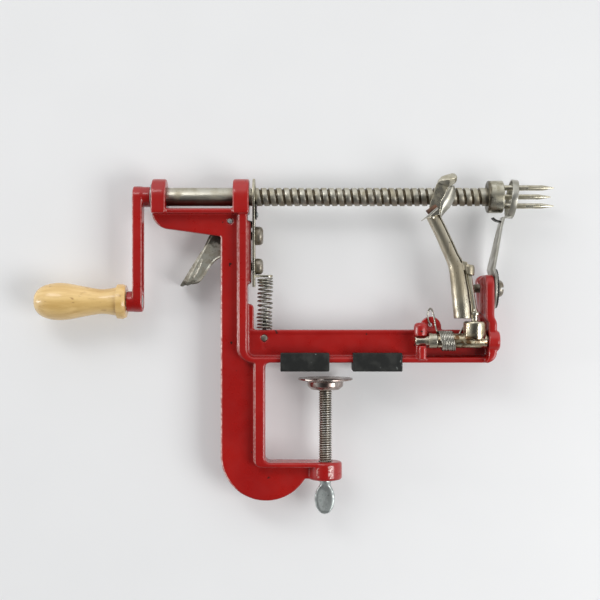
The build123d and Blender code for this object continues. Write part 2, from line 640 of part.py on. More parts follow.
def slicer_ring_solid(radius, width):
    return Pos(RING_CENTRE[0], 0, RING_CENTRE[1]) * Rot(0, 90 + RING_TILT, 0) * Cylinder(radius, width)


def corer_ring():
    return slicer_ring_solid(RING_R[0], RING_WIDTH) - slicer_ring_solid(RING_R[1], RING_WIDTH + 2)


def slicer_lock_washer():
    """Round washer with a toothed rim."""
    disc = rod_x(*LOCK_X, LOCK_R, 0, SLICER_SCREW_Z)
    notches = []
    for index in range(LOCK_TEETH):
        turn = radians(index * 360 / LOCK_TEETH)
        y, z = LOCK_R * cos(turn), SLICER_SCREW_Z + LOCK_R * sin(turn)
        notches.append(rod_x(LOCK_X[0] - 1, LOCK_X[1] + 1, 0.55, y, z))
    return disc - notches - rod_x(95, 110, SLICER_SCREW_R + 0.15, 0, SLICER_SCREW_Z)


def slicer_screw():
    shank = rod_x(89.0, LOCK_X[1], SLICER_SCREW_R, 0, SLICER_SCREW_Z)
    head = rod_x(LOCK_X[1], LOCK_X[1] + 4.1, 5.0, 0, SLICER_SCREW_Z)
    head = fillet(head.edges().sort_by(Axis.X)[-1:], 2.6)
    drive = block((LOCK_X[1] + 2.2, 110), (-5.5, 5.5), (SLICER_SCREW_Z - 0.6, SLICER_SCREW_Z + 0.6))
    return shank + head - drive


def slicer_spacer():
    """Thin washer between the post and the slicing arm."""
    ring = rod_x(POST_X[1], SLICER_X - SLICER_SHEET / 2, 6.0, 0, SLICER_SCREW_Z)
    return ring - rod_x(95, 110, SLICER_SCREW_R, 0, SLICER_SCREW_Z)


NODES = {
    "frame": cast_frame,
    "rear_pad": lambda: table_pad((-26.8, 2.2)),
    "front_pad": lambda: table_pad((16.1, 45.4)),
    "feed_screw": feed_screw,
    "fork_hub": fork_hub,
    "fork_prongs": fork_prongs,
    "fork_grub_screw": fork_grub_screw,
    "thrust_washer": thrust_washer,
    "crank_arm": crank_arm,
    "handle_spindle": handle_spindle,
    "handle_retaining_ring": handle_retaining_ring,
    "wood_handle": wood_handle,
    "clamp_disc": clamp_disc,
    "clamp_screw": clamp_screw,
    "clamp_rivet_head": clamp_rivet_head,
    "release_lever": release_lever,
    "release_pivot_pin": release_pivot_pin,
    "nut_carrier": nut_carrier,
    "half_nut": half_nut,
    "half_nut_rivets": half_nut_rivets,
    "guide_screws": guide_screws,
    "release_spring": release_spring,
    "spring_guide": spring_guide,
    "spring_cross_pin": spring_cross_pin,
    "peeler_pivot_pin": peeler_pivot_pin,
    "pivot_spacer": pivot_spacer,
    "pivot_block": pivot_block,
    "torsion_spring": torsion_spring,
    "swivel_stem": swivel_stem,
    "stem_washer": stem_washer,
    "peeler_arm": peeler_arm,
    "blade_holder": blade_holder,
    "peeler_blade": peeler_blade,
    "blade_pivot_block": blade_pivot_block,
    "depth_guard": depth_guard,
    "slicer_arm": slicer_arm,
    "corer_ring": corer_ring,
    "chip_lip": chip_lip,
    "slicer_spacer": slicer_spacer,
    "slicer_lock_washer": slicer_lock_washer,
    "slicer_screw": slicer_screw,
}

for node, make in NODES.items():
    solid = make()
    solid.label = node
    export_step(solid, f"parts/{node}.step")
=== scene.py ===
import json
from functools import reduce
from math import cos, pi, radians, sin

import bmesh
import bpy
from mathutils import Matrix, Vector

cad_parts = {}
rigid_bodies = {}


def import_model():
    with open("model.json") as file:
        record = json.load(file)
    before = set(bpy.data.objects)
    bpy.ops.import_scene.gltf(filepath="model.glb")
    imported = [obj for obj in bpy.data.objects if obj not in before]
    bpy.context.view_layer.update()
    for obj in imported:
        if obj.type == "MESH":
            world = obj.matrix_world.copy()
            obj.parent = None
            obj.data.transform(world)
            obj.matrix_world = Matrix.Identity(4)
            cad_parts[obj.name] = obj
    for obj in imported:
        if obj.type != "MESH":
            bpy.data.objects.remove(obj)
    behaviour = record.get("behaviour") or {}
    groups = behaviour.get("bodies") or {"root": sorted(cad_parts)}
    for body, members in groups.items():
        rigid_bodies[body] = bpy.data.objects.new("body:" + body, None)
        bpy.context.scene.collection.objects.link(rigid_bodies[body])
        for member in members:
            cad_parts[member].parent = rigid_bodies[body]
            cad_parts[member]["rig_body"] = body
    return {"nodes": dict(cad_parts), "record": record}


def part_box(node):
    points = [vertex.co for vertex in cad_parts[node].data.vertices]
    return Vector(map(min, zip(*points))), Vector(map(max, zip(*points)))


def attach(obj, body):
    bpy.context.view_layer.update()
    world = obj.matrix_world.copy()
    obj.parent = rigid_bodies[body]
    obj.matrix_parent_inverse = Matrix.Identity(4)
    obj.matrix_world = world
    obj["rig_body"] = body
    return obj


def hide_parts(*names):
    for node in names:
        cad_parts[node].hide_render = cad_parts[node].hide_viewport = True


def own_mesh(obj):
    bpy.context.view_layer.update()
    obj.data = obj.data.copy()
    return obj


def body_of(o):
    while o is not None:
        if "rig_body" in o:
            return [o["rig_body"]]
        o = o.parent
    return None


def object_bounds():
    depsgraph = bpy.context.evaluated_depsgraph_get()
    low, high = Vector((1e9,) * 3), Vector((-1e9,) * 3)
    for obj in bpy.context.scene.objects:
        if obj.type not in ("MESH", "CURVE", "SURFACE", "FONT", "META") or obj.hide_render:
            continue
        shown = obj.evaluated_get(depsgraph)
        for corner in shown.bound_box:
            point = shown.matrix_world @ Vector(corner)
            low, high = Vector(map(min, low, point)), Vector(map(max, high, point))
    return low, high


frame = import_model()
cad_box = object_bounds()

MM = 0.001
Y_AXIS = Vector((0, 1, 0))


def middle(node):
    """Centre of a CAD node's box, in millimetres."""
    low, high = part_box(node)
    return (low + high) / (2 * MM)


SHAFT_Z = middle("thrust_washer").z
PIVOT = middle("peeler_pivot_pin")


# ---- camera, floor and light ----
CAMERA_X = -15.2
CAMERA_Z = 42.3
CAMERA_DISTANCE = 700.0
VIEW_WIDTH = 360.0
FLOOR_GAP = 0.8
FLOOR_HALF_M = 2.5
PAPER = (0.662, 0.664, 0.664, 1), (0.690, 0.692, 0.692, 1)
PAPER_GLOW = 0.148
DARK_WAY = Vector((0, 0.94, 0.34)).normalized()
LIGHTS = (
    # name, place and aim in metres, size in metres, power in watts
    ("key", (0.75, -0.75, -0.25), (0, 0, 0.04), (0.55, 0.55), 6.9),
    ("fill", (-0.5, -0.8, 0.75), (0, 0, 0.04), (0.7, 0.3), 3.2),
    ("left_strip", (-1.0, -0.16, 0.02), (0, 0, 0.03), (0.7, 0.10), 2.6),
)


def make_camera():
    """Level camera in front of the frame's web, square to it."""
    data = bpy.data.cameras.new("camera")
    data.sensor_width = 36.0
    data.lens = data.sensor_width * CAMERA_DISTANCE / VIEW_WIDTH
    camera = bpy.data.objects.new("camera", data)
    camera.location = Vector((CAMERA_X, -CAMERA_DISTANCE, CAMERA_Z)) * MM
    camera.rotation_euler = (radians(90), 0, 0)
    bpy.context.scene.collection.objects.link(camera)
    bpy.context.scene.camera = camera


def make_floor():
    """Pale surface that the object lies on with its far side, see-through from below."""
    mesh = bpy.data.meshes.new("floor")
    half = FLOOR_HALF_M
    y = cad_box[1].y + FLOOR_GAP * MM
    corner_shade = [(-half, y, -half), (half, y, -half), (half, y, half), (-half, y, half)]
    mesh.from_pydata(corner_shade, [], [(0, 1, 2, 3)])
    floor = bpy.data.objects.new("floor", mesh)
    bpy.context.scene.collection.objects.link(floor)
    paint = Paint("floor")
    paint.set({
        "Base Color": paint.blend(paint.noise(0.05, 2), *PAPER),
        "Roughness": 0.8,
        "Specular IOR Level": 0.2,
        "Emission Color": (0.99, 1.0, 1.0, 1),
        "Emission Strength": PAPER_GLOW,
    })
    clear = paint.nodes.new("ShaderNodeBsdfTransparent")
    sides = paint.nodes.new("ShaderNodeMixShader")
    facing = paint.nodes.new("ShaderNodeNewGeometry").outputs["Backfacing"]
    paint.links.new(facing, sides.inputs["Fac"])
    paint.links.new(paint.shader.outputs["BSDF"], sides.inputs[1])
    paint.links.new(clear.outputs["BSDF"], sides.inputs[2])
    paint.links.new(sides.outputs["Shader"], paint.nodes["Material Output"].inputs["Surface"])
    mesh.materials.append(paint.material)


def area_light(name, place, target, size, power):
    data = bpy.data.lights.new(name, "AREA")
    data.shape = "RECTANGLE"
    data.size, data.size_y = size
    data.energy = power
    light = bpy.data.objects.new(name, data)
    light.location = Vector(place)
    aim = Vector(target) - light.location
    light.rotation_euler = aim.to_track_quat("-Z", "Y").to_euler()
    bpy.context.scene.collection.objects.link(light)


def make_lights():
    """Light tent that is dark behind the camera and bright on top, with three softboxes."""
    world = bpy.data.worlds.new("studio")
    bpy.context.scene.world = world
    world.use_nodes = True
    nodes, links = world.node_tree.nodes, world.node_tree.links
    way = nodes.new("ShaderNodeTexCoord").outputs["Generated"]
    split = nodes.new("ShaderNodeSeparateXYZ")
    links.new(way, split.inputs["Vector"])
    from_dark = nodes.new("ShaderNodeVectorMath")
    from_dark.operation = "DOT_PRODUCT"
    links.new(way, from_dark.inputs[0])
    from_dark.inputs[1].default_value = DARK_WAY
    wall = nodes.new("ShaderNodeMapRange")
    wall.interpolation_type = "SMOOTHSTEP"
    links.new(from_dark.outputs["Value"], wall.inputs["Value"])
    top = nodes.new("ShaderNodeMapRange")
    links.new(split.outputs["Z"], top.inputs["Value"])
    limits = "From Min", "From Max", "To Min", "To Max"
    for node, values in ((wall, (-0.98, -0.30, 0.07, 0.84)), (top, (-1.0, 1.0, 0.60, 1.45))):
        for limit, value in zip(limits, values):
            node.inputs[limit].default_value = value
    strength = nodes.new("ShaderNodeMath")
    strength.operation = "MULTIPLY"
    links.new(wall.outputs["Result"], strength.inputs[0])
    links.new(top.outputs["Result"], strength.inputs[1])
    background = nodes["Background"]
    background.inputs["Color"].default_value = (0.97, 0.98, 1.0, 1)
    links.new(strength.outputs["Value"], background.inputs["Strength"])
    for light in LIGHTS:
        area_light(*light)
    bpy.context.scene.view_settings.view_transform = "Standard"


# ---- materials ----
class Paint:
    """One procedural material, with short names for the shader nodes it is made of."""

    def __init__(self, name):
        self.material = bpy.data.materials.new(name)
        self.material.use_nodes = True
        self.nodes = self.material.node_tree.nodes
        self.links = self.material.node_tree.links
        self.shader = self.nodes["Principled BSDF"]
        self.place = self.nodes.new("ShaderNodeTexCoord").outputs["Object"]

    def feed(self, socket, value):
        """Sets a socket's value, or links it to another node's output."""
        if isinstance(value, bpy.types.NodeSocket):
            self.links.new(value, socket)
        else:
            socket.default_value = value

    def set(self, values):
        for name, value in values.items():
            self.feed(self.shader.inputs[name], value)

    def noise(self, size, detail=3.0, stretch=(1, 1, 1), distortion=0.0):
        """Noise with features about size metres across, longer where stretch is small."""
        mapping = self.nodes.new("ShaderNodeMapping")
        mapping.inputs["Scale"].default_value = stretch
        self.links.new(self.place, mapping.inputs["Vector"])
        node = self.nodes.new("ShaderNodeTexNoise")
        node.inputs["Scale"].default_value = 1 / size
        node.inputs["Detail"].default_value = detail
        node.inputs["Distortion"].default_value = distortion
        self.links.new(mapping.outputs["Vector"], node.inputs["Vector"])
        return node.outputs["Fac"]

    def span(self, value, low, high, out_low=0.0, out_high=1.0):
        """Smooth step of a value from out_low, below low, to out_high, above high."""
        node = self.nodes.new("ShaderNodeMapRange")
        node.interpolation_type = "SMOOTHSTEP"
        self.feed(node.inputs["Value"], value)
        node.inputs["From Min"].default_value = low
        node.inputs["From Max"].default_value = high
        node.inputs["To Min"].default_value = out_low
        node.inputs["To Max"].default_value = out_high
        return node.outputs["Result"]

    def blend(self, share, first, second):
        node = self.nodes.new("ShaderNodeMix")
        node.data_type = "RGBA"
        self.feed(node.inputs[0], share)
        self.feed(node.inputs[6], first)
        self.feed(node.inputs[7], second)
        return node.outputs[2]

    def math(self, operation, first, second):
        node = self.nodes.new("ShaderNodeMath")
        node.operation = operation
        self.feed(node.inputs[0], first)
        self.feed(node.inputs[1], second)
        return node.outputs["Value"]

    def vector(self, operation, first, second=None):
        node = self.nodes.new("ShaderNodeVectorMath")
        node.operation = operation
        self.links.new(first, node.inputs[0])
        if second is not None:
            node.inputs[1].default_value = second
        return node

    def times(self, *factors):
        return reduce(lambda a, b: self.math("MULTIPLY", a, b), factors)

    def most(self, first, second):
        return self.math("MAXIMUM", first, second)

    def bump(self, height, depth, under=None):
        """Normals for a height from 0 to 1, where 1 stands depth metres proud."""
        node = self.nodes.new("ShaderNodeBump")
        node.inputs["Distance"].default_value = depth
        self.feed(node.inputs["Height"], height)
        if under is not None:
            self.links.new(under, node.inputs["Normal"])
        return node.outputs["Normal"]

    def from_axis(self, centre, mask):
        """Distance in metres from a line through centre; mask is 0 along the line's axis."""
        offset = self.vector("SUBTRACT", self.place, Vector(centre) * MM).outputs["Vector"]
        flat = self.vector("MULTIPLY", offset, mask).outputs["Vector"]
        return self.vector("LENGTH", flat).outputs["Value"]

    def along(self, axis):
        """Place along one of the object's axes, in metres."""
        split = self.nodes.new("ShaderNodeSeparateXYZ")
        self.links.new(self.place, split.inputs["Vector"])
        return split.outputs[axis]

    def facing(self, direction):
        """Cosine between the surface's normal and a direction of the object."""
        normal = self.nodes.new("ShaderNodeTexCoord").outputs["Normal"]
        unit = Vector(direction).normalized()
        return self.vector("DOT_PRODUCT", normal, unit).outputs["Value"]

    def pointiness(self):
        return self.nodes.new("ShaderNodeNewGeometry").outputs["Pointiness"]


BOSS_AXIS = (0, 0, 0)
BOSS_R = 0.0125
BOSS_TOP = -0.050
LEFT_FRONT, RIGHT_FRONT = (-1, -1, 0), (1, -1, 0)
# pale pink of bare primer at chips, also the colour of the painted highlights
CHIP_AND_HIGHLIGHT_PINK = (0.76, 0.52, 0.47, 1)


def red_enamel():
    """Glossy red enamel on a casting: orange peel, painted shade in the hollows, chips, and painted
    highlights down the boss and along edges.
    """
    paint = Paint("red_enamel")
    tone = paint.span(paint.noise(0.035, 3), 0.3, 0.7)
    colour = paint.blend(tone, (0.315, 0.0070, 0.0060, 1), (0.375, 0.0100, 0.0075, 1))
    # painted shade: darker in each concave corner, found by low pointiness
    corner_shade = paint.span(paint.pointiness(), 0.47, 0.40)
    colour = paint.blend(paint.times(corner_shade, 0.75), colour, (0.085, 0.012, 0.008, 1))
    specks = paint.span(paint.noise(0.0045, 2), 0.735, 0.765)
    colour = paint.blend(specks, colour, (0.045, 0.012, 0.01, 1))

    # chips along sharp edges
    edges = paint.span(paint.pointiness(), 0.535, 0.58)
    flakes = paint.span(paint.noise(0.006, 5, distortion=0.6), 0.60, 0.64)
    chips_and_highlights = paint.times(edges, flakes)

    # two painted highlight stripes down the clamp's boss, speckled, at fixed facing directions
    from_boss = paint.span(paint.from_axis(BOSS_AXIS, (1, 1, 0)), BOSS_R, BOSS_R - 0.002)
    on_boss = paint.times(from_boss, paint.span(paint.along("Z"), BOSS_TOP, BOSS_TOP - 0.004))
    # front and side pick the facing directions of the painted highlight stripes
    front = paint.span(paint.facing((0.30, -0.95, 0)), 0.985, 0.998)
    side = paint.span(paint.facing((-0.47, -0.88, 0)), 0.993, 0.999, 0.0, 0.6)
    highlight_speckle = paint.span(paint.noise(0.0016, 4, distortion=0.8), 0.46, 0.56, 0.0, 0.85)
    chips_and_highlights = paint.most(chips_and_highlights, paint.times(on_boss, paint.most(front, side), highlight_speckle))

    # painted highlights along edges facing left-front and right-front, broken into dots, most of
    # all near the crank
    web = paint.times(
        paint.span(paint.along("Y"), -0.0055, -0.0040),
        paint.span(paint.along("X"), -0.056, -0.050, 1.0, 0.0),
    )
    web_edges = paint.span(paint.facing(LEFT_FRONT), 0.78, 0.86)
    rib_edges = paint.span(paint.facing(LEFT_FRONT), 0.92, 0.98, 0.0, 0.66)
    right_edges = paint.span(paint.facing(RIGHT_FRONT), 0.90, 0.98, 0.0, 0.35)
    edge_highlights = paint.most(paint.most(paint.times(web, web_edges), rib_edges), right_edges)
    highlight_fade = paint.span(paint.along("X"), -0.02, 0.06, 0.9, 0.25)
    off_boss = paint.math("SUBTRACT", 1.0, on_boss)
    dotted = paint.span(paint.noise(0.0018, 3), 0.38, 0.60, 0.30, 0.95)
    chips_and_highlights = paint.most(chips_and_highlights, paint.times(edge_highlights, highlight_fade, off_boss, dotted))

    peel = paint.bump(paint.noise(0.0022, 2), 0.00006)
    paint.set({
        # chips are worn paint; the boss stripes and the edge lines are painted highlights in the
        # same pink
        "Base Color": paint.blend(chips_and_highlights, colour, CHIP_AND_HIGHLIGHT_PINK),
        "Roughness": paint.span(paint.noise(0.008, 3), 0.3, 0.7, 0.26, 0.40),
        "Specular IOR Level": 0.30,
        "Coat Weight": 0.5,
        "Coat Roughness": 0.08,
        "Normal": paint.bump(paint.times(chips_and_highlights, -1.0), 0.00008, peel),
    })
    return paint.material


def metal(
    name, bright, dull, roughness, patch, pits, brush=(1, 1, 1), depth=0.00003, streak=(1, 1, 1)
):
    """Aged plated metal: cloudy patches, fine pits and brushing."""
    paint = Paint(name)
    clouds = paint.span(paint.noise(patch, 5, streak, 0.4), 0.35, 0.68)
    pitting = paint.times(paint.span(paint.noise(0.0013, 3), 0.64, 0.72), pits)
    pit = [channel * 0.28 for channel in dull[:3]] + [1]
    paint.set({
        "Base Color": paint.blend(pitting, paint.blend(clouds, bright, dull), pit),
        "Metallic": 1.0,
        "Roughness": paint.span(clouds, 0.0, 1.0, roughness - 0.07, roughness + 0.10),
        "Normal": paint.bump(paint.noise(0.0006, 3, brush), depth),
    })
    return paint


def overlaid(paint, share, laid_colour):
    """Lays a darker colour over a material's colour: rust, darkening, and painted shade."""
    clean = paint.shader.inputs["Base Color"].links[0].from_socket
    paint.set({"Base Color": paint.blend(share, clean, laid_colour)})
    return paint


def threaded(paint, centre, mask, root, crest, laid_colour):
    """Painted shade in a thread's grooves: darkens a material below the crests, by the distance
    from its axis.
    """
    depth = paint.span(paint.from_axis(centre, mask), root * MM, crest * MM, 1.0, 0.0)
    shade_breakup = paint.span(paint.noise(0.004, 4), 0.25, 0.55, 0.75, 1.0)
    return overlaid(paint, paint.times(depth, shade_breakup), laid_colour)


def wandered(paint, value, size, reach, stretch=(1, 1, 1)):
    """Value shifted by up to reach either way, so that a border in it isn't straight."""
    shift = paint.span(paint.noise(size, 3, stretch), 0.3, 0.7, -reach, reach)
    return paint.math("ADD", value, shift)


def feed_steel():
    """Brushed shaft steel: painted shade in the thread's grooves and painted shade on the
    underside, most on the smooth length.
    """
    paint = metal(
        "feed_steel", (0.52, 0.50, 0.425, 1), (0.39, 0.355, 0.265, 1), 0.44, 0.008, 0.35,
        (0.06, 1, 1), 0.00006
    )
    smooth = paint.span(paint.along("X"), -0.050, -0.046, 1.0, 0.4)
    # painted shade on the shaft's underside, strongest on the smooth length
    below = wandered(paint, paint.facing((0, -0.30, -1)), 0.006, 0.06, (0.2, 1, 1))
    underside_shade = paint.times(smooth, paint.span(below, 0.42, 0.66), 0.80)
    overlaid(paint, underside_shade, (0.060, 0.036, 0.026, 1))
    # colour of the painted shade in the thread's grooves
    groove_shade_colour = (0.085, 0.066, 0.042, 1)
    return threaded(paint, (0, 0, SHAFT_Z), (0, 1, 1), 4.85, 5.42, groove_shade_colour).material


def clamp_steel():
    """Zinc of the clamp screw, with painted shade in its thread's grooves."""
    paint = metal(
        "zinc_clamp_thread", (0.62, 0.61, 0.57, 1), (0.40, 0.36, 0.29, 1), 0.36, 0.012, 0.5
    )
    # colour of the painted shade in the thread's grooves
    groove_shade_colour = (0.085, 0.065, 0.045, 1)
    return threaded(paint, (0, 0, 0), (1, 1, 0), 3.35, 3.95, groove_shade_colour).material


def stamped_nickel():
    """Dull plating of the thumb lever, with a painted shadow where it goes in behind the frame, and
    dark at its tip.
    """
    paint = metal(
        "stamped_nickel", (0.48, 0.47, 0.405, 1), (0.30, 0.28, 0.225, 1), 0.52, 0.0040, 1.0
    )
    height = wandered(paint, paint.along("Z"), 0.003, 0.0015)
    # painted shadow on the lever's top, where it passes under the arm and behind the frame
    behind = paint.span(height, 0.0745, 0.0770, 0.0, 0.85)
    tip = paint.span(height, 0.0542, 0.0528, 0.0, 0.6)
    return overlaid(paint, paint.most(behind, tip), (0.060, 0.052, 0.040, 1)).material


def hub_nickel():
    """Plating of the fork's hub, darker and browner round its back edge."""
    paint = metal("hub_nickel", (0.52, 0.50, 0.41, 1), (0.36, 0.335, 0.25, 1), 0.33, 0.0050, 0.7)
    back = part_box("fork_hub")[0].x
    depth = wandered(paint, paint.along("X"), 0.003, 0.0006)
    browned = paint.span(depth, back + 0.0008, back + 0.0024, 0.85, 0.0)
    return overlaid(paint, browned, (0.085, 0.068, 0.045, 1)).material


def sleeve():
    """Worn plating, rusted towards the spring's end of the sleeve and under its collar."""
    paint = metal("sleeve_steel", (0.56, 0.52, 0.40, 1), (0.38, 0.32, 0.20, 1), 0.28, 0.005, 0.6)
    near_spring = paint.span(paint.along("X"), 0.0845, 0.0795)
    under_collar = paint.times(
        paint.span(paint.along("Z"), 0.0218, 0.0205), paint.span(paint.along("Z"), 0.0155, 0.0165)
    )
    blotches = paint.span(paint.noise(0.0032, 5, distortion=0.8), 0.40, 0.56)
    rusted = paint.times(paint.most(near_spring, under_collar), blotches)
    return overlaid(paint, rusted, (0.15, 0.085, 0.04, 1)).material


def oak():
    """Lacquered oak: pale tan, long grain and short dark pores along the handle."""
    paint = Paint("oak_handle")
    grain = paint.noise(0.004, 4, (0.06, 1, 1), 0.5)
    colour = paint.blend(
        paint.span(grain, 0.32, 0.68), (0.80, 0.555, 0.225, 1), (0.62, 0.39, 0.125, 1)
    )
    pores = paint.span(paint.noise(0.0012, 3, (0.13, 1, 1)), 0.60, 0.70)
    rows = paint.span(paint.noise(0.0035, 2, (0.25, 1, 1)), 0.40, 0.58)
    pores = paint.times(pores, rows)
    paint.set({
        "Base Color": paint.blend(paint.times(pores, 0.8), colour, (0.36, 0.17, 0.045, 1)),
        "Roughness": paint.span(pores, 0.0, 1.0, 0.36, 0.55),
        "Coat Weight": 0.6,
        "Coat Roughness": 0.12,
        "Normal": paint.bump(paint.times(pores, -1.0), 0.00012),
    })
    return paint.material


def rubber():
    """Matt black rubber with dust and small scuffs."""
    paint = Paint("black_rubber")
    dust = paint.span(paint.noise(0.006, 5), 0.42, 0.75)
    colour = paint.blend(dust, (0.013, 0.014, 0.013, 1), (0.030, 0.031, 0.028, 1))
    scuffs = paint.span(paint.noise(0.0024, 2), 0.70, 0.76)
    colour = paint.blend(scuffs, colour, (0.16, 0.17, 0.16, 1))
    paint.set({
        "Base Color": colour,
        "Roughness": paint.span(dust, 0.0, 1.0, 0.50, 0.70),
        "Specular IOR Level": 0.25,
        "Normal": paint.bump(paint.noise(0.0007, 3), 0.00006),
    })
    return paint.material


def rust():
    """Steel browned by rust."""
    paint = Paint("rusty_steel")
    patches = paint.span(paint.noise(0.003, 5), 0.35, 0.65)
    colour = paint.blend(patches, (0.075, 0.038, 0.024, 1), (0.17, 0.085, 0.05, 1))
    paint.set({
        "Base Color": colour,
        "Metallic": 0.35,
        "Roughness": paint.span(patches, 0.0, 1.0, 0.42, 0.72),
        "Normal": paint.bump(paint.noise(0.0008, 4), 0.00010),
    })
    return paint.material


MATERIALS = {
    "red_enamel": red_enamel(),
    "feed_steel": feed_steel(),
    "rusty_steel": rust(),
    "sleeve_steel": sleeve(),
    "black_rubber": rubber(),
    "oak_handle": oak(),
}
PLAIN_METALS = {
    # name: bright and dull colours, roughness, size of patches, share of pits
    "bright_nickel": ((0.58, 0.55, 0.45, 1), (0.42, 0.385, 0.285, 1), 0.31, 0.0055, 0.7),
    "spring_steel": ((0.48, 0.465, 0.41, 1), (0.25, 0.24, 0.20, 1), 0.31, 0.003, 0.6),
    "zinc_clamp": ((0.60, 0.64, 0.62, 1), (0.33, 0.36, 0.35, 1), 0.46, 0.0030, 0.7),
    "dished_steel": ((0.50, 0.44, 0.40, 1), (0.24, 0.17, 0.15, 1), 0.18, 0.007, 0.35),
    "blackened_steel": ((0.085, 0.08, 0.075, 1), (0.03, 0.027, 0.024, 1), 0.46, 0.003, 0.4),
    "stainless_blade": (
        (0.49, 0.48, 0.43, 1), (0.35, 0.335, 0.28, 1), 0.40, 0.010, 0.3, (1, 1, 0.1)
    ),
}
for metal_name, values in PLAIN_METALS.items():
    MATERIALS[metal_name] = metal(metal_name, *values).material
CLAMP_THREAD = clamp_steel()
STAMPED_NICKEL = stamped_nickel()
ROLLED_NICKEL = metal(
    "rolled_nickel", (0.58, 0.54, 0.43, 1), (0.36, 0.315, 0.225, 1), 0.34, 0.0065, 0.9,
    (1, 1, 0.12), 0.00010, (1, 1, 0.3)
).material
WOUND_STEEL = metal(
    "wound_steel", (0.40, 0.385, 0.335, 1), (0.19, 0.18, 0.15, 1), 0.36, 0.003, 0.6
).material
BROWNED_STEEL = metal(
    "browned_steel", (0.34, 0.31, 0.26, 1), (0.20, 0.17, 0.125, 1), 0.46, 0.003, 0.6
).material
OWN_MATERIAL = {
    "guide_screws": BROWNED_STEEL, "spring_cross_pin": BROWNED_STEEL,
    "slicer_screw": BROWNED_STEEL, "fork_hub": hub_nickel(),
}
REMODELLED = {
    "frame", "crank_arm", "rear_pad", "front_pad", "clamp_screw", "release_spring", "peeler_arm",
    "blade_holder", "peeler_blade", "blade_pivot_block", "depth_guard", "release_lever",
    "torsion_spring", "spring_guide",
}
EDGE_BREAK = {"fork_hub": 0.7, "corer_ring": 0.3, "feed_screw": 0.25, "wood_handle": 0.3}
USUAL_EDGE_BREAK = 0.18


def finish_cad_nodes():
    """Material of its slot for every CAD node; the ones kept in shape get broken edges too."""
    for part in frame["record"]["subparts"]:
        node, slot = part["node"], part["material_slot"]
        obj = frame["nodes"][node]
        obj.data.materials.clear()
        obj.data.materials.append(MATERIALS[slot])
        if node not in REMODELLED:
            width = EDGE_BREAK.get(node, USUAL_EDGE_BREAK)
            mesh = broken_edges(node + "_finished", obj.data, width)
            add_piece(mesh.name, mesh, body_of(obj)[0], slot, [node], OWN_MATERIAL.get(node))


# ---- mesh helpers; shapes are worked out in millimetres and stored in metres ----
def evaluated(name, mesh, modifiers):
    """Mesh with modifiers, given as (type, settings) pairs, applied to it."""
    obj = bpy.data.objects.new(name, mesh)
    bpy.context.scene.collection.objects.link(obj)
    for kind, settings in modifiers:
        modifier = obj.modifiers.new(kind, kind)
        for setting, value in settings.items():
            setattr(modifier, setting, value)
    depsgraph = bpy.context.evaluated_depsgraph_get()
    result = bpy.data.meshes.new_from_object(obj.evaluated_get(depsgraph))
    result.name = name
    bpy.data.objects.remove(obj)
    return result


def broken_edges(name, mesh, width):
    """Copy of a CAD mesh whose sharp edges are rounded a little, as handling rounds them."""
    work = bmesh.new()
    work.from_mesh(mesh)
    bmesh.ops.remove_doubles(work, verts=work.verts, dist=0.001 * MM)
    bmesh.ops.dissolve_limit(work, angle_limit=radians(1), verts=work.verts, edges=work.edges)
    plain = bpy.data.meshes.new(name)
    work.to_mesh(plain)
    work.free()
    bevel = {
        "width": width * MM, "segments": 2, "limit_method": "ANGLE",
        "angle_limit": radians(38), "use_clamp_overlap": True,
    }
    mesh = evaluated(name, plain, [("BEVEL", bevel)])
    mesh.shade_smooth()
    mesh.set_sharp_from_angle(angle=radians(45))
    return mesh


def add_piece(name, mesh, body, slot, replaced=(), material=None):
    """Visible piece on a body, in place of the CAD nodes it replaces."""
    obj = bpy.data.objects.new(name, mesh)
    bpy.context.scene.collection.objects.link(obj)
    mesh.materials.clear()
    mesh.materials.append(material or MATERIALS[slot])
    if not name.endswith("_finished"):
        mesh.shade_smooth()
    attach(obj, body)
    if replaced:
        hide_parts(*replaced)
    return obj


def round_turn(count):
    """Angles of count points spread evenly round a circle."""
    return [2 * pi * k / count for k in range(count)]


def loft(name, rings, capped=True):
    """Closed skin through rings of points, each ring closed on itself."""
    count = len(rings[0])
    points = [Vector(p) * MM for ring in rings for p in ring]
    faces = []
    for row in range(len(rings) - 1):
        for i in range(count):
            j = (i + 1) % count
            low, high = row * count, (row + 1) * count
            faces.append((low + i, low + j, high + j, high + i))
    if capped:
        faces.append(tuple(reversed(range(count))))
        faces.append(tuple(range((len(rings) - 1) * count, len(rings) * count)))
    mesh = bpy.data.meshes.new(name)
    mesh.from_pydata(points, [], faces)
    return facing_out(mesh)


def facing_out(mesh):
    """The mesh with its normals turned outwards."""
    work = bmesh.new()
    work.from_mesh(mesh)
    bmesh.ops.recalc_face_normals(work, faces=work.faces)
    work.to_mesh(mesh)
    work.free()
    return mesh


def tube(name, path, radius, sides=10):
    """Round wire along a path of points."""
    path = [Vector(p) for p in path]
    side = None
    rings = []
    for index, point in enumerate(path):
        ahead = path[min(index + 1, len(path) - 1)] - path[max(index - 1, 0)]
        ahead.normalize()
        if side is None:
            side = ahead.orthogonal().normalized()
        side = (side - ahead * side.dot(ahead)).normalized()
        other = ahead.cross(side)
        rings.append([
            point + (side * cos(t) + other * sin(t)) * radius for t in round_turn(sides)
        ])
    return loft(name, rings)


def turned(name, profile, centre, sides=28):
    """Shape turned round a vertical axis from (height, radius) points."""
    x, y = centre
    return loft(name, [
        [(x + radius * cos(t), y + radius * sin(t), z) for t in round_turn(sides)]
        for z, radius in profile
    ])


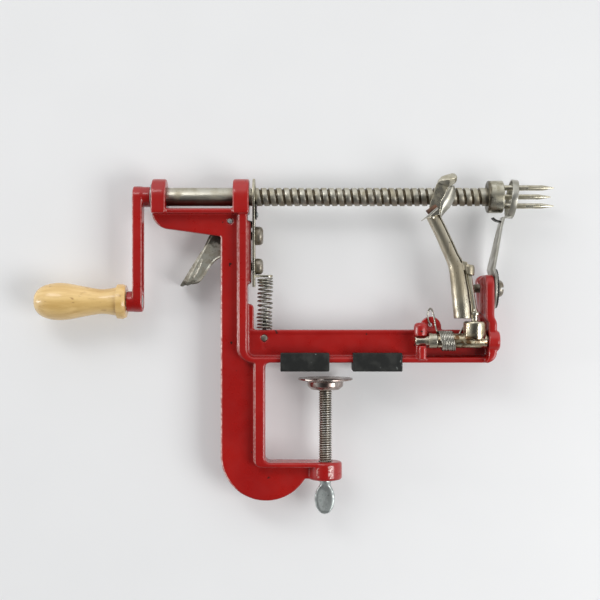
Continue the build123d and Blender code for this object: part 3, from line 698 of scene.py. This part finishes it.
def smooth_path(points, steps=8):
    """Catmull-Rom curve through points."""
    points = [Vector(p) for p in points]
    ends = [2 * points[0] - points[1]] + points + [2 * points[-1] - points[-2]]
    path = []
    for a, b, c, d in zip(ends, ends[1:], ends[2:], ends[3:]):
        for step in range(steps):
            t = step / steps
            path.append(
                (b * 2 + (c - a) * t + (a * 2 - b * 5 + c * 4 - d) * t**2
                 + (b * 3 - a - c * 3 + d) * t**3) / 2
            )
    return path + [points[-1]]


def softened(name, meshes, voxel, rounds):
    """One skin round closed meshes, with every edge and corner rounded as a casting's are."""
    work = bmesh.new()
    for mesh in meshes:
        work.from_mesh(mesh)
    rough = bpy.data.meshes.new(name + "_rough")
    work.to_mesh(rough)
    work.free()
    return evaluated(name, rough, [
        ("REMESH", {"mode": "VOXEL", "voxel_size": voxel * MM}),
        ("SMOOTH", {"factor": 0.5, "iterations": rounds}),
    ])


def plate(name, outline, y0, y1):
    """Flat sheet with an outline of (x, z) points between two depths."""
    return loft(name, [[(x, y, z) for x, z in outline] for y in (y0, y1)])


# ---- castings and rubber pads ----
def moulded_pieces():
    """Castings and pads with the soft edges of their moulds."""
    for name, node, body, slot, voxel, rounds in (
        ("cast_frame", "frame", "base", "red_enamel", 0.52, 8),
        ("cast_crank", "crank_arm", "crank", "red_enamel", 0.40, 8),
        ("rear_pad_rubber", "rear_pad", "base", "black_rubber", 0.45, 3),
        ("front_pad_rubber", "front_pad", "base", "black_rubber", 0.45, 3),
    ):
        mesh = softened(name, [frame["nodes"][node].data], voxel, rounds)
        add_piece(name, mesh, body, slot, [node])


# ---- table clamp: threaded screw with a forged spade ----
THREAD_R = 4.0
THREAD_DEPTH = 0.62
THREAD_PITCH = 1.41
SCREW_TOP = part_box("clamp_disc")[0].z / MM + 1.3
THREAD_FOOT = -66.0
SHANK_R = 3.7
SHANK_TOP = THREAD_FOOT + 1.0
SPADE_ROOT = THREAD_FOOT - 5.5
SPADE_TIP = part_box("clamp_screw")[0].z / MM
SPADE_HALF_HEIGHT = 9.3
SPADE_HALF_WIDTH = 6.05
SPADE_HALF_THICKNESS = 1.6
SPADE_DISH = 0.45
SPADE_OFFSET = 0.35


def thread_radius(turn, z):
    """Radius of a V thread with narrow flats, at a share of a turn and a height."""
    phase = (z / THREAD_PITCH - turn) % 1.0
    tooth = min(1.0, max(0.0, 1.35 - abs(phase - 0.5) * 3.2))
    return THREAD_R - THREAD_DEPTH * tooth


def clamp_thread():
    """The clamp screw's threaded length."""
    sides, steps_per_turn = 40, 12
    rows = int((SCREW_TOP - THREAD_FOOT) / THREAD_PITCH * steps_per_turn)
    rings = []
    for row in range(rows + 1):
        z = THREAD_FOOT + (SCREW_TOP - THREAD_FOOT) * row / rows
        ring = []
        for k, angle in enumerate(round_turn(sides)):
            radius = thread_radius(k / sides, z)
            ring.append((radius * cos(angle), radius * sin(angle), z))
        rings.append(ring)
    mesh = loft("threaded_screw", rings)
    add_piece("threaded_screw", mesh, "clamp_spindle", "zinc_clamp", ["clamp_screw"], CLAMP_THREAD)


def clamp_spade():
    """Oval thumb spade forged from the end of the screw, hollowed a little on each face."""
    sides, rows = 40, 44
    rings = []
    for row in range(rows + 1):
        share = 1 - (1 - row / rows) ** 1.15
        z = SHANK_TOP + (SPADE_TIP - SHANK_TOP) * share
        up = (z - SPADE_TIP - SPADE_HALF_HEIGHT) / SPADE_HALF_HEIGHT
        oval = max(0.0, 1 - up**2) ** 0.5
        flat = min(1.0, max(0.0, (THREAD_FOOT - z) / (THREAD_FOOT - SPADE_ROOT)))
        flat = flat * flat * (3 - 2 * flat)
        shank = SHANK_R * (1 - flat)
        wide = max(shank + SPADE_HALF_WIDTH * oval * flat, 0.05)
        thick = max(shank + SPADE_HALF_THICKNESS * min(1.0, oval * 1.6) * flat, 0.05)
        power = 1 - 0.35 * flat
        ring = []
        for angle in round_turn(sides):
            c, s = cos(angle), sin(angle)
            x = wide * abs(c) ** power * (1 if c > 0 else -1)
            y = thick * abs(s) ** power * (1 if s > 0 else -1)
            if abs(s) > 0.2:
                dish = SPADE_DISH * flat * oval * max(0.0, 1 - (x / (wide * 0.75)) ** 2)
                y -= dish * (1 if s > 0 else -1)
            ring.append((x - SPADE_OFFSET * flat, y, z))
        rings.append(ring)
    add_piece("thumb_spade", loft("thumb_spade", rings), "clamp_spindle", "zinc_clamp")


# ---- springs ----
RELEASE_TURNS = 14
RELEASE_WIRE = 0.54
RELEASE_R = 4.2
RELEASE_LEAN = 0.7


def release_spring():
    """Compression spring whose turns are a little uneven, wound at one length; the real one
    shortens with the half nut.
    """
    low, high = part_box("release_spring")
    axis = middle("release_spring")
    foot = low.z / MM + RELEASE_WIRE
    height = (high.z - low.z) / MM - 2 * RELEASE_WIRE
    steps = 28 * RELEASE_TURNS
    path = []
    for step in range(steps + 1):
        share = step / steps
        turn = RELEASE_TURNS * share
        angle = 2 * pi * turn
        closed = 0.030 * sin(2 * pi * share) + 0.006 * sin(2 * pi * 3.3 * share)
        uneven = 1 + 0.035 * sin(turn * 2.1) - 0.03 * sin(pi * share)
        rise = share - closed
        path.append((
            axis.x + RELEASE_R * uneven * cos(angle) + 0.25 * sin(turn * 1.3) + RELEASE_LEAN * rise,
            axis.y + RELEASE_R * uneven * sin(angle),
            foot + height * rise,
        ))
    mesh = tube("wound_release_spring", path, RELEASE_WIRE, 8)
    spring = add_piece(
        "wound_release_spring", mesh, "base", "spring_steel", ["release_spring"], WOUND_STEEL
    )
    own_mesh(spring)


def guide_rod():
    """Spigot inside the spring's foot: thick where it is sunk in the bed, thin above it."""
    low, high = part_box("spring_guide")
    axis = middle("spring_guide")
    foot, thick, thin = low.z / MM, (high.x - low.x) / (2 * MM), 1.0
    bed_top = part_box("release_spring")[0].z / MM
    profile = (
        (foot, thick - 0.3), (foot + 0.3, thick), (bed_top - 0.6, thick),
        (bed_top + 0.4, thin), (bed_top + 6.0, thin), (bed_top + 6.5, thin - 0.5),
    )
    mesh = turned("guide_rod", profile, (axis.x, axis.y))
    add_piece("guide_rod", mesh, "base", "blackened_steel", ["spring_guide"])


COIL_LEFT, COIL_RIGHT = 67.3, 75.3
COIL_TURNS = 8
COIL_WIRE = 0.52
COIL_R = 5.6
COIL_LEAN = 1.35


def torsion_spring():
    """Torsion spring whose turns lean, with a hook on the frame's ear and a pushing leg."""
    steps = 24
    coil = []
    for step in range(COIL_TURNS * steps + 1):
        angle = 2 * pi * step / steps
        x = COIL_LEFT + (COIL_RIGHT - COIL_LEFT) * step / (COIL_TURNS * steps)
        radius = COIL_R * (1 + 0.02 * sin(step * 0.13))
        coil.append((
            x - COIL_LEAN * cos(angle), PIVOT.y + radius * sin(angle), PIVOT.z + radius * cos(angle)
        ))
    start, end = Vector(coil[0]), Vector(coil[-1])
    hook = smooth_path([
        (62.6, -2.8, 27.0), (61.3, -3.2, 31.0), (61.0, -3.6, 34.0), (62.0, -4.1, 36.9),
        (63.3, -4.6, 36.6), (64.6, -5.6, 32.0), (65.3, -7.0, 26.5),
        start + Vector((-0.4, -0.8, 0.1)),
    ], 6)
    leg = smooth_path([
        end, end + Vector((1.0, 1.6, -0.6)), (78.2, PIVOT.y + 5.4, PIVOT.z + 2.0),
        (80.6, PIVOT.y + 6.2, PIVOT.z + 5.5), (82.6, PIVOT.y + 6.6, PIVOT.z + 8.0),
    ], 5)
    mesh = tube("torsion_coil", hook[:-1] + coil + leg[1:], COIL_WIRE, 8)
    add_piece("torsion_coil", mesh, "base", "spring_steel", ["torsion_spring"])


# ---- quick release: stamped thumb lever ----
def stamped_lever():
    """Thumb lever with curled edges and a raised bead, over the CAD lever's own shape."""
    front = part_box("release_lever")[0].y / MM + 0.2
    # each wire's radius, curve steps and (x, depth before the front, z) points
    wires = {
        "upper_curl": (0.6, 5, (
            (-68.6, 0, 81.5), (-72.6, 0, 74.0), (-77.8, 0, 64.7), (-81.4, 0.3, 58.0),
            (-84.6, 0.8, 52.6),
        )),
        "lower_curl": (0.6, 5, (
            (-62.5, 0, 68.4), (-66.0, 0, 66.6), (-69.9, 0, 62.3), (-73.2, 0.2, 57.0),
            (-76.3, 0.3, 53.3), (-80.2, 0.3, 52.2),
        )),
        "bead": (0.5, 4, ((-74.4, 0, 66.6), (-77.0, 0.2, 60.4), (-79.8, 0.3, 56.0))),
    }
    parts = [frame["nodes"]["release_lever"].data]
    for name, (radius, steps, points) in wires.items():
        path = smooth_path([(x, front - proud, z) for x, proud, z in points], steps)
        parts.append(tube(name, path, radius))
    mesh = softened("stamped_lever", parts, 0.25, 2)
    add_piece(
        "stamped_lever", mesh, "thumb_lever", "bright_nickel", ["release_lever"], STAMPED_NICKEL
    )


# ---- slicing screw: its threaded end shows inside the post ----
def screw_end_thread():
    """Ridge of thread wound round the screw's end, fading out at both of its own ends."""
    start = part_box("slicer_screw")[0].x / MM + 0.35
    axis = middle("slicer_screw")
    pitch, turns, steps = 0.8, 6.3, 24
    root, crest, half_foot = 2.35, 0.38, 0.36
    sections = []
    for step in range(int(turns * steps) + 1):
        turn = step / steps
        c, s = cos(2 * pi * turn), sin(2 * pi * turn)
        x = start + pitch * turn
        fade = min(1.0, turn * 2, (turns - turn) * 2)
        sections.append([
            (x + along, axis.y + radius * c, axis.z + radius * s)
            for along, radius in (
                (-half_foot, root), (0.0, root + 0.1 + crest * fade), (half_foot, root)
            )
        ])
    mesh = loft("screw_end_thread", sections)
    add_piece("screw_end_thread", mesh, "base", "blackened_steel", (), BROWNED_STEEL)


# ---- peeling arm: rolled from sheet, open along its seam ----
ARM_ROUTE = (
    (81.3, 31.4), (80.8, 38.0), (79.6, 48.0), (78.3, 57.0), (76.9, 63.0), (74.6, 68.0),
    (68.6, 81.4), (62.9, 92.8),
)
ARM_HALF_WIDTH = (5.5, 5.7, 5.4, 5.0, 4.7, 4.3, 4.1, 4.1)
ARM_HALF_DEPTH = (4.9, 4.9, 4.8, 4.5, 4.0, 3.5, 3.3, 3.2)
ARM_SHEET = 0.9
ARM_SEAM = radians(9)
ARM_SEAM_TURN = radians(-38)


def rolled_arm():
    """Sheet rolled into a tube that tapers up its bend, cut level at the foot, with its tab."""
    centres = smooth_path([(x, PIVOT.y, z) for x, z in ARM_ROUTE])
    wide = smooth_path([(w, 0, d) for w, d in zip(ARM_HALF_WIDTH, ARM_HALF_DEPTH)])
    count = 36
    rings = []
    for index, centre in enumerate(centres):
        ahead = centres[min(index + 1, len(centres) - 1)] - centres[max(index - 1, 0)]
        square = min(1.0, index / 12)
        ahead = (ahead.normalized() * square + Vector((0, 0, 1)) * (1 - square)).normalized()
        across = Y_AXIS.cross(ahead).normalized()
        dents = 1 + 0.012 * sin(index * 0.9)
        ring = []
        for wall, order in ((0.0, range(count + 1)), (ARM_SHEET, range(count, -1, -1))):
            for k in order:
                angle = ARM_SEAM_TURN + ARM_SEAM + (2 * pi - 2 * ARM_SEAM) * k / count
                x = (wide[index].x * dents - wall) * cos(angle)
                y = (wide[index].z - wall) * sin(angle)
                ring.append(centre + across * x + Y_AXIS * y)
        rings.append(ring)
    arm = loft("rolled_arm", rings)
    mesh = softened("rolled_arm", [arm, stem_loop()], 0.28, 2)
    add_piece(
        "rolled_arm", mesh, "peeler_head", "bright_nickel", ["peeler_arm"], ROLLED_NICKEL
    )


def stem_loop():
    """Tab of the arm's sheet, curled round the top of the swivel stem."""
    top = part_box("swivel_stem")[1].z / MM
    middle_z, stem_x, lean = top - 2.4, 84.6, 0.5
    profile = ((2.5, -3.2), (3.2, -3.0), (3.35, -1.0), (3.35, 1.6), (3.0, 2.9), (2.5, 3.1))
    rings = []
    for angle in round_turn(32):
        c, s = cos(angle), sin(angle)
        rings.append([
            (stem_x + radius * c, PIVOT.y + radius * s, middle_z + lift - lean * c)
            for radius, lift in profile
        ])
    rings.append(rings[0])
    tab = loft("stem_loop", rings, capped=False)
    outline = ((79.6, 60.0), (83.4, 59.6), (83.4, 64.6), (80.4, 65.4))
    bridge = plate("bridge", outline, PIVOT.y - 2.6, PIVOT.y - 1.6)
    work = bmesh.new()
    work.from_mesh(tab)
    work.from_mesh(bridge)
    bmesh.ops.remove_doubles(work, verts=work.verts, dist=0.001 * MM)
    bmesh.ops.recalc_face_normals(work, faces=work.faces)
    work.to_mesh(tab)
    work.free()
    return tab


# ---- peeling head ----
def head_plate():
    """Face plate whose top is folded over into a ridged block."""
    face = plate("face", (
        (60.6, 96.2), (61.2, 99.0), (62.6, 103.1), (64.9, 110.4), (66.0, 111.6), (72.0, 108.7),
        (70.7, 106.0), (69.6, 103.4), (67.6, 100.2), (67.2, 95.9), (66.6, 92.4), (61.8, 91.0),
    ), -15.4, -13.9)
    # x, heights of the crease, ridge and top, depths of the crease and ridge
    stations = (
        (65.8, 110.8, 111.5, 112.5, -15.2, -15.8), (67.9, 110.3, 112.3, 114.9, -15.4, -17.0),
        (70.0, 109.4, 112.4, 115.8, -15.5, -17.6), (72.2, 108.6, 112.5, 116.4, -15.6, -17.9),
        (74.0, 109.5, 113.2, 116.9, -15.4, -17.9), (75.6, 110.5, 113.9, 116.8, -15.0, -17.6),
        (76.9, 112.2, 114.2, 115.7, -14.6, -16.4),
    )
    rings = [
        [
            (x, y_crease, crease), (x, y_ridge, ridge), (x, y_ridge + 0.6, ridge + 0.9),
            (x, -14.0, top), (x, -11.6, top - 0.8), (x, -11.8, crease + 0.8),
        ]
        for x, crease, ridge, top, y_crease, y_ridge in stations
    ]
    socket = tube("socket", ((62.4, -12.4, 90.4), (65.6, -12.6, 98.5)), 2.1, 12)
    mesh = softened("head_plate", [face, loft("fold", rings), socket], 0.22, 3)
    add_piece("head_plate", mesh, "peeler_head", "bright_nickel", ["blade_holder"])


BLADE_INNER = (
    (67.2, -14.6, 91.6), (66.9, -14.8, 95.9), (67.2, -15.0, 100.7), (69.6, -15.1, 104.1),
    (70.9, -15.1, 106.6), (72.2, -14.9, 108.4), (73.9, -14.5, 109.5),
)
BLADE_OUTER = (
    (67.9, -12.6, 90.7), (70.0, -12.2, 93.5), (73.1, -12.0, 96.9), (75.2, -12.0, 100.5),
    (76.3, -12.2, 104.2), (76.5, -12.6, 107.0), (75.7, -13.2, 109.5),
)
BLADE_SHEET = 0.75
BLADE_CROWN = 1.5
BEVEL_FROM = 0.8


def curved_blade():
    """Crescent blade: crowned across, and ground thin along its outer edge."""
    columns = (0.0, 0.15, 0.3, 0.45, 0.6, 0.72, 0.78, BEVEL_FROM, 0.9, 1.0)
    rings = []
    for near, far in zip(smooth_path(BLADE_INNER, 5), smooth_path(BLADE_OUTER, 5)):
        front, back = [], []
        for u in columns:
            ground = max(0.0, u - BEVEL_FROM) / (1 - BEVEL_FROM)
            crown = BLADE_CROWN * sin(pi * min(u, BEVEL_FROM) * 1.05) * (1 - ground)
            front.append(near.lerp(far, u) - Y_AXIS * crown)
            back.append(front[-1] + Y_AXIS * BLADE_SHEET * (1 - 0.8 * ground))
        rings.append(front + back[::-1])
    mesh = loft("curved_blade", rings)
    blade = add_piece(
        "curved_blade", mesh, "peeler_head", "stainless_blade", ["peeler_blade"]
    )
    blade.data.set_sharp_from_angle(angle=radians(35))


def head_joint():
    """Browned pivot block and the thin guard strip that crosses it."""
    outline = ((58.5, 94.7), (64.0, 98.4), (65.5, 96.7), (60.2, 92.5))
    mesh = softened("joint_block", [plate("joint_block", outline, -17.2, -14.0)], 0.22, 3)
    add_piece("joint_block", mesh, "peeler_head", "rusty_steel", ["blade_pivot_block"])
    outline = (
        (55.5, 88.2), (55.8, 88.9), (60.0, 92.3), (64.9, 96.6), (65.7, 95.7), (60.8, 91.3)
    )
    mesh = softened("guard_strip", [plate("guard_strip", outline, -18.0, -17.2)], 0.16, 2)
    add_piece("guard_strip", mesh, "peeler_head", "stainless_blade", ["depth_guard"])


# ---- build ----
make_camera()
make_floor()
make_lights()
finish_cad_nodes()
moulded_pieces()
clamp_thread()
clamp_spade()
release_spring()
guide_rod()
torsion_spring()
stamped_lever()
screw_end_thread()
rolled_arm()
head_plate()
curved_blade()
head_joint()
